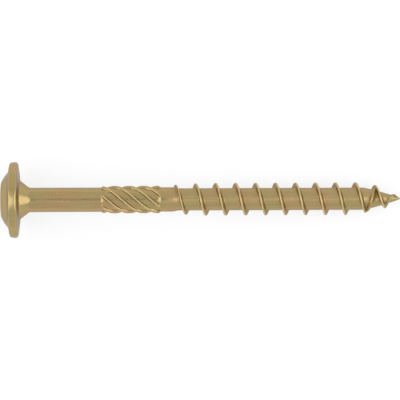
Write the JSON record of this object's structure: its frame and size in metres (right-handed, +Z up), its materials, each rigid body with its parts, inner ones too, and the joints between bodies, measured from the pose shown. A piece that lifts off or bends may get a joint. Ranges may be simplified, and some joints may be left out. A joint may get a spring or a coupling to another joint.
{
  "type": "flange head wood screw",
  "caption": "Self-tapping wood screw with a round flange head, star socket, plain shank, ribbed shank cutter, coarse thread and gimlet point.",
  "frame": {"origin": "on the screw's axis, in the plane of the seat under the flange", "axes": "+X from the head to the point, tipped down by 3.7 degrees because the screw lies on its rim and its thread; +Z up"},
  "size_m": [0.0735, 0.014, 0.014],
  "materials": {
    "zinc_plated_steel": "satin yellow passivated zinc"
  },
  "bodies": {
    "root": {"screw": "zinc_plated_steel"}
  },
  "joints": []
}
